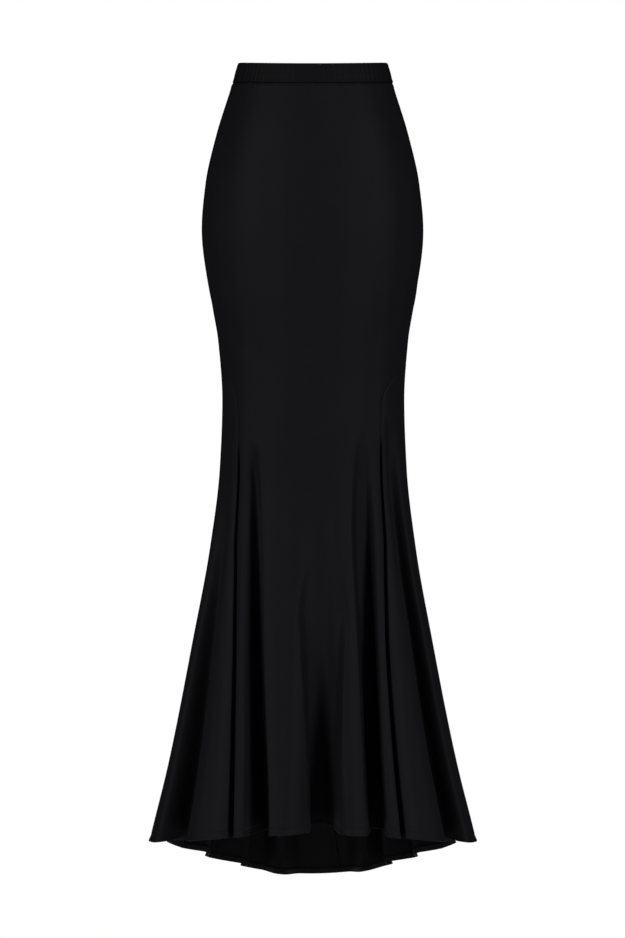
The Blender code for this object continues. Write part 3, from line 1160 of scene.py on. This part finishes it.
class StitchTree:
    """The node tree that sews one stitch after another along a line."""

    def __init__(self) -> None:
        """Build the tree: its inputs, the stitch, and the stitches set along the line."""
        self.tree = bpy.data.node_groups.new("stitches", "GeometryNodeTree")
        self.tree.interface.new_socket("Line", in_out="INPUT", socket_type="NodeSocketGeometry")
        for name in ("Pitch", "Length", "Radius", "Unevenness"):
            self.tree.interface.new_socket(name, in_out="INPUT", socket_type="NodeSocketFloat")
        self.tree.interface.new_socket("Seed", in_out="INPUT", socket_type="NodeSocketInt")
        self.tree.interface.new_socket("Thread", in_out="INPUT", socket_type="NodeSocketMaterial")
        self.tree.interface.new_socket("Stitches", in_out="OUTPUT", socket_type="NodeSocketGeometry")
        given = add_node(self.tree, "NodeGroupInput").outputs
        curve = add_node(self.tree, "GeometryNodeMeshToCurve", inputs={"Mesh": given["Line"]})
        spacing = {"Curve": curve.outputs[0], "Length": given["Pitch"]}
        places = add_node(self.tree, "GeometryNodeResampleCurve", {"mode": "LENGTH"}, spacing)
        stitch = {"Instance": self.one_stitch(given), "Rotation": self.direction(given)}
        stitch["Points"] = places.outputs[0]
        sewn = add_node(self.tree, "GeometryNodeInstanceOnPoints", inputs=stitch)
        real = add_node(self.tree, "GeometryNodeRealizeInstances", inputs={0: sewn.outputs[0]})
        smooth = add_node(self.tree, "GeometryNodeSetShadeSmooth", inputs={0: real.outputs[0]})
        dressed = {"Geometry": smooth.outputs[0], "Material": given["Thread"]}
        finished = add_node(self.tree, "GeometryNodeSetMaterial", inputs=dressed)
        add_node(self.tree, "NodeGroupOutput", inputs={0: finished.outputs[0]})

    def one_stitch(self, given: Any) -> bpy.types.NodeSocket:
        """Add the nodes that make one stitch, a slim round-ended length of thread along Z.

        Args:
            given: The tree's inputs.

        Returns:
            The stitch's mesh.
        """
        unit_ball = {"Segments": 6, "Rings": 5, "Radius": 0.5}
        ball = add_node(self.tree, "GeometryNodeMeshUVSphere", inputs=unit_ball)
        doubled = {0: given["Radius"], 1: 2.0}
        width = add_node(self.tree, "ShaderNodeMath", {"operation": "MULTIPLY"}, doubled).outputs[0]
        sizes = {0: width, 1: width, 2: given["Length"]}
        size = add_node(self.tree, "ShaderNodeCombineXYZ", inputs=sizes)
        stretched = {"Geometry": ball.outputs[0], "Scale": size.outputs[0]}
        return add_node(self.tree, "GeometryNodeTransform", inputs=stretched).outputs[0]

    def direction(self, given: Any) -> bpy.types.NodeSocket:
        """Add the nodes that turn each stitch along the line's own direction for it, a little unevenly.

        Args:
            given: The tree's inputs.

        Returns:
            The stitches' rotation.
        """
        vector = {"data_type": "FLOAT_VECTOR"}
        lay = add_node(self.tree, "GeometryNodeInputNamedAttribute", vector, {"Name": "lay"})
        negated = {0: given["Unevenness"], 1: -1.0}
        least = add_node(self.tree, "ShaderNodeMath", {"operation": "MULTIPLY"}, negated)
        drift = add_node(self.tree, "FunctionNodeRandomValue", vector)
        self.tree.links.new(least.outputs[0], drift.inputs["Min"])
        self.tree.links.new(given["Unevenness"], drift.inputs["Max"])
        self.tree.links.new(given["Seed"], drift.inputs["Seed"])
        both = {0: lay.outputs[0], 1: drift.outputs[0]}
        total = add_node(self.tree, "ShaderNodeVectorMath", {"operation": "ADD"}, both)
        aim = {"Vector": total.outputs[0]}
        return add_node(self.tree, "FunctionNodeAlignRotationToVector", {"axis": "Z"}, aim).outputs[0]

    def sew(self, name: str, lines: list, kind: Stitch, thread: bpy.types.Material) -> bpy.types.Object:
        """Sew stitches along lines and leave them as one plain mesh.

        Args:
            name: The new piece's name.
            lines: For each line, its points and the direction that stitches lie in at each point.
            kind: The kind of stitch.
            thread: The thread's finish.

        Returns:
            The stitches, riding on the skirt.
        """
        points = np.concatenate([line for line, _ in lines])
        lay = np.concatenate([direction for _, direction in lines]).astype(np.float32)
        starts = set(np.cumsum([len(line) for line, _ in lines]).tolist())
        edges = [(number - 1, number) for number in range(1, len(points)) if number not in starts]
        mesh = bpy.data.meshes.new(name)
        mesh.from_pydata(points.tolist(), edges, [])
        mesh.attributes.new("lay", "FLOAT_VECTOR", "POINT").data.foreach_set("vector", lay.ravel())
        piece = bpy.data.objects.new(name, mesh)
        bpy.context.scene.collection.objects.link(piece)
        modifier = piece.modifiers.new("stitches", "NODES")
        modifier.node_group = self.tree
        names = ("Pitch", "Length", "Radius", "Unevenness", "Seed", "Thread")
        values = dict(zip(names, (*kind.value, thread)))
        for socket in self.tree.interface.items_tree:
            if socket.in_out == "INPUT" and socket.name in values:
                modifier[socket.identifier] = values[socket.name]
        apply_modifiers(piece)
        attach(piece, BODY)
        return piece


@dataclass
class Sewing:
    """The lines that the skirt is sewn along."""

    form: SkirtForm
    lift: float = 0.0001
    points_round: int = 2400
    below_waist: float = 0.0031
    waist_inset: float = 0.0002
    above_turning: float = 0.0002
    rows_apart: float = 0.0036

    def round_line(self, height: float, from_hem: bool, inset: float) -> tuple:
        """Trace a line round the skirt on its outer face.

        Args:
            height: The line's distance from the hem or from the waist seam.
            from_hem: Whether it is measured from the hem.
            inset: How far the line lies inside the form.

        Returns:
            The line's points and its directions.
        """
        angle = np.linspace(-math.pi, math.pi, self.points_round)
        share = height / self.form.length(angle)
        if from_hem:
            share = 1 - share
        line = self.form.points(angle, share) - self.form.normals(angle, share) * (inset - self.lift)
        return line, unit(np.gradient(line, axis=0))

    def hem_lines(self, panel: Panel) -> list:
        """Trace the two rows of cover stitches that hold the turned hem.

        Args:
            panel: Any panel, for the sizes of its hem.

        Returns:
            The two lines, the upper one first.
        """
        upper = self.round_line(panel.turning - self.above_turning, True, panel.stitch_depth)
        lower = self.round_line(panel.turning - self.rows_apart, True, 0.0)
        return [upper, lower]

    def waist_line(self) -> list:
        """Trace the row of stitches just below the band."""
        return [self.round_line(self.below_waist, False, self.waist_inset)]


# THE STUDIO


class Softbox(NamedTuple):
    """One square soft light: its name, where it hangs, its side and its power in watts."""

    name: str
    place: tuple
    size: float
    power: float


@dataclass
class Studio:
    """A pale floor, a white surround, soft lights and a level camera in front of the skirt."""

    camera_place: tuple = (-0.0005, -4.5, -0.6025)
    view_height: float = 1.392
    sensor: float = 36.0
    floor_drop: float = 1.62
    floor_radius: float = 1.9
    floor_sides: int = 64
    surround_light: float = 0.008
    softboxes: tuple = (
        Softbox("left_softbox", (-3.00, -2.85, 0.7), 1.3, 91),
        Softbox("right_softbox", (3.00, -2.85, 0.7), 1.3, 91),
        Softbox("back_softbox", (0.0, 3.9, 1.0), 1.2, 70),
    )

    def build(self) -> None:
        """Set up the surround, the floor, the lights and the camera."""
        bpy.context.scene.view_settings.view_transform = "Standard"
        self.surround()
        self.floor()
        for softbox in self.softboxes:
            self.light(softbox)
        self.camera()

    def surround(self) -> None:
        """Make the white surround that lights the skirt from all sides."""
        world = bpy.data.worlds.new("white_surround")
        world.use_nodes = True
        tree = world.node_tree
        dim = tree.nodes["Background"]
        dim.inputs["Color"].default_value = WHITE
        dim.inputs["Strength"].default_value = self.surround_light
        seen = add_node(tree, "ShaderNodeBackground", inputs={"Color": WHITE, "Strength": 1.0})
        path = add_node(tree, "ShaderNodeLightPath")
        mix = {0: path.outputs["Is Camera Ray"], 1: dim.outputs[0], 2: seen.outputs[0]}
        both = add_node(tree, "ShaderNodeMixShader", inputs=mix)
        tree.links.new(both.outputs[0], tree.nodes["World Output"].inputs["Surface"])
        bpy.context.scene.world = world

    def floor(self) -> None:
        """Lay the floor."""
        ring = np.linspace(0, math.tau, self.floor_sides, endpoint=False)
        down = np.full_like(ring, -self.floor_drop)
        points = np.stack((self.floor_radius * np.cos(ring), self.floor_radius * np.sin(ring), down), -1)
        floor = mesh_object("floor", points, [list(range(self.floor_sides))], PaleStudioFloor().material())

    def light(self, softbox: Softbox) -> None:
        """Hang one soft light that points at the middle of the skirt.

        Args:
            softbox: The light.
        """
        lamp = bpy.data.lights.new(softbox.name, "AREA")
        lamp.size = softbox.size
        lamp.energy = softbox.power
        holder = bpy.data.objects.new(softbox.name, lamp)
        bpy.context.scene.collection.objects.link(holder)
        holder.location = softbox.place
        x, y, z = np.array((0.0, 0.0, self.camera_place[2])) - np.array(softbox.place)
        holder.rotation_euler = (math.atan2(math.hypot(x, y), -z), 0.0, math.atan2(-x, y))

    def camera(self) -> None:
        """Set the camera level in front of the skirt, at half its height."""
        lens = bpy.data.cameras.new("camera")
        lens.sensor_fit = "VERTICAL"
        lens.sensor_height = self.sensor
        lens.lens = self.sensor * -self.camera_place[1] / self.view_height
        holder = bpy.data.objects.new("camera", lens)
        bpy.context.scene.collection.objects.link(holder)
        holder.location = self.camera_place
        holder.rotation_euler = (math.pi / 2, 0.0, 0.0)
        bpy.context.scene.camera = holder


def main() -> None:
    """Build the skirt and its studio."""
    form = SkirtForm()
    jersey = BlackJersey().material()
    # The casing's jersey lies gathered and double; its darker shades are painted shade that stands in for
    # the shade of its gathers.
    casing = BlackJersey(name="black_jersey_casing_painted_shade", shades=("#111113", "#151517")).material()
    Waistband(form).build(casing)
    LOG.info("waistband built")
    panels = cut_panels(form)
    for panel in panels:
        panel.build(jersey)
        LOG.info("%s built", panel.name)
    thread = PolyesterThread().material()
    stitches = StitchTree()
    sewing = Sewing(form)
    stitches.sew("hem_stitches", sewing.hem_lines(panels[0]), Stitch.COVER, thread)
    stitches.sew("waist_stitches", sewing.waist_line(), Stitch.COVER, thread)
    edges = [turning.free_edge(panel) for panel in panels for turning in panel.turnings]
    stitches.sew("overlock_stitches", edges, Stitch.OVERLOCK, thread)
    LOG.info("stitches sewn")
    Studio().build()
    LOG.info("studio built")


if __name__ == "__main__":
    logging.basicConfig(level=logging.INFO)
    main()
